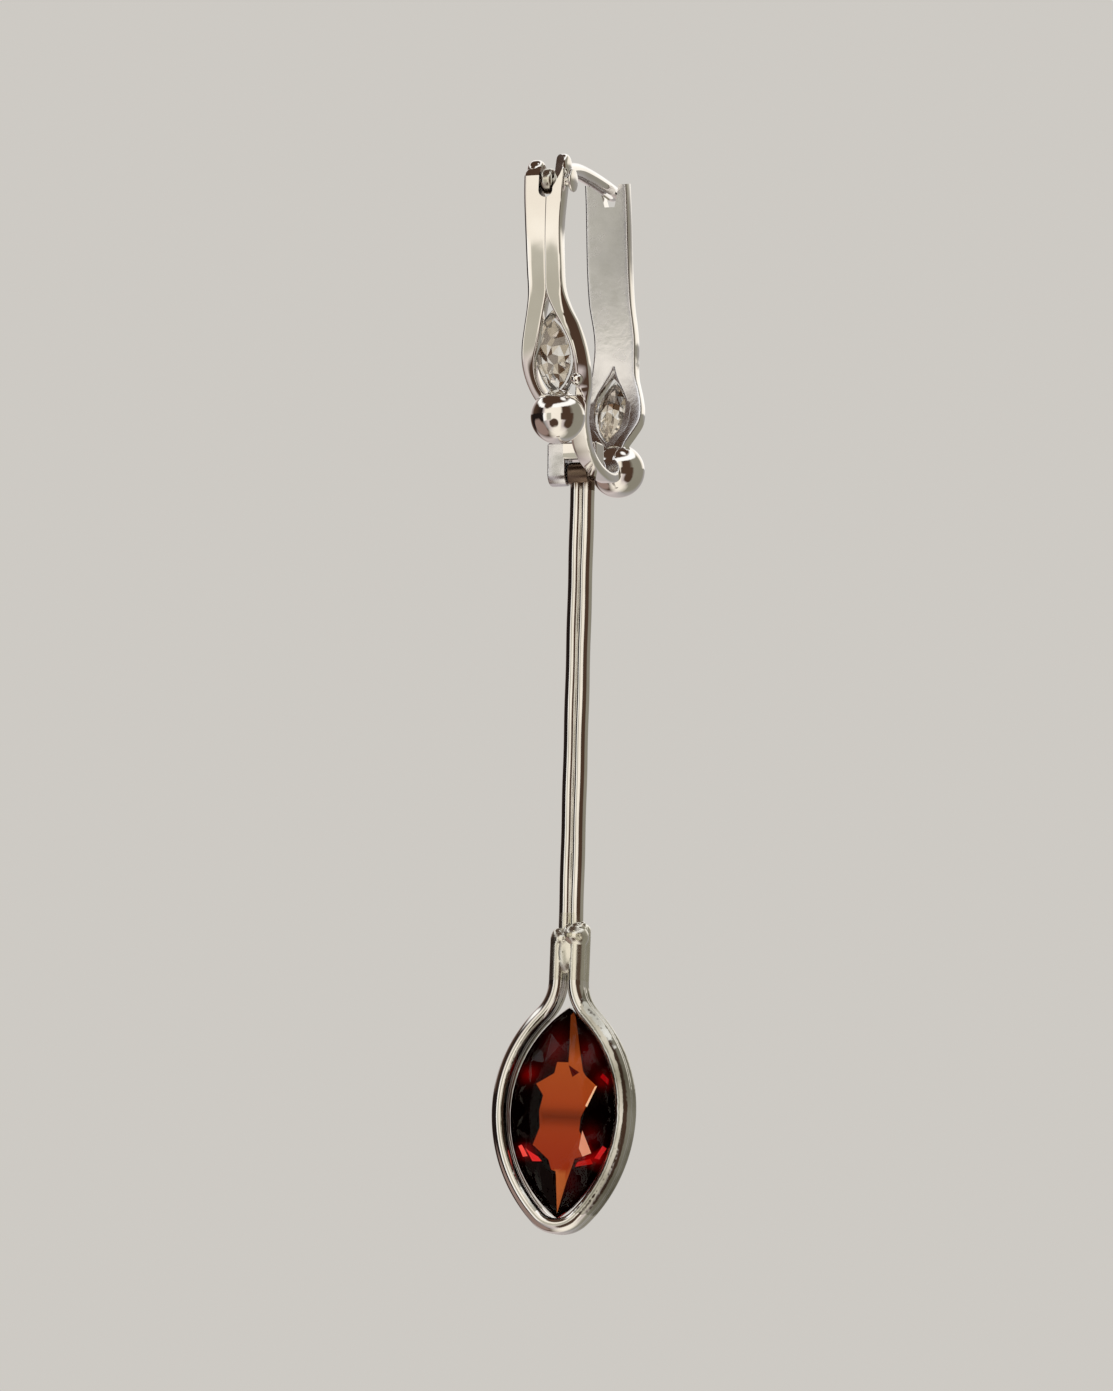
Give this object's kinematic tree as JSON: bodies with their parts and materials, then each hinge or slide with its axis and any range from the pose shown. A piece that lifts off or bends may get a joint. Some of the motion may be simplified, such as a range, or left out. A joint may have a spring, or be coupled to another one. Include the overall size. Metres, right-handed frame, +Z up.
{
  "type": "wavy hoop drop earring",
  "caption": "Wavy silver hoop earring with a hinged ear wire, clear marquise stones and balls, and a long stem drop with a red marquise stone.",
  "frame": {"origin": "underside of the ear wire's arch, where the earring hangs in the ear", "axes": "+Z up, against the way it hangs; -Y towards the front of the hoop, where the ear wire is hinged; +X towards the wearer's left, the hinge pins' axis"},
  "size_m": [0.0092, 0.0145, 0.0672],
  "materials": {
    "silver": "polished silver, satin inside the hoop",
    "clear_crystal": "cut and polished clear stone",
    "red_garnet": "cut and polished deep red stone"
  },
  "bodies": {
    "hoop": {"hoop_band": "silver", "hinge_pin": "silver", "front_crystal": "clear_crystal", "back_crystal": "clear_crystal", "drop_pin": "silver"},
    "ear_wire": {"ear_wire": "silver"},
    "drop": {"drop_frame": "silver", "garnet": "red_garnet"}
  },
  "joints": [
    {"name": "ear_wire_hinge", "type": "hinge", "parent": "hoop", "child": "ear_wire", "pos_m": [0, -0.00605, -0.001], "axis": [1, 0, 0], "range_deg": [0, 75]},
    {"name": "drop_swing", "type": "hinge", "parent": "hoop", "child": "drop", "pos_m": [0, 0.0008, -0.01846], "axis": [1, 0, 0], "range_deg": [-60, 60]}
  ]
}
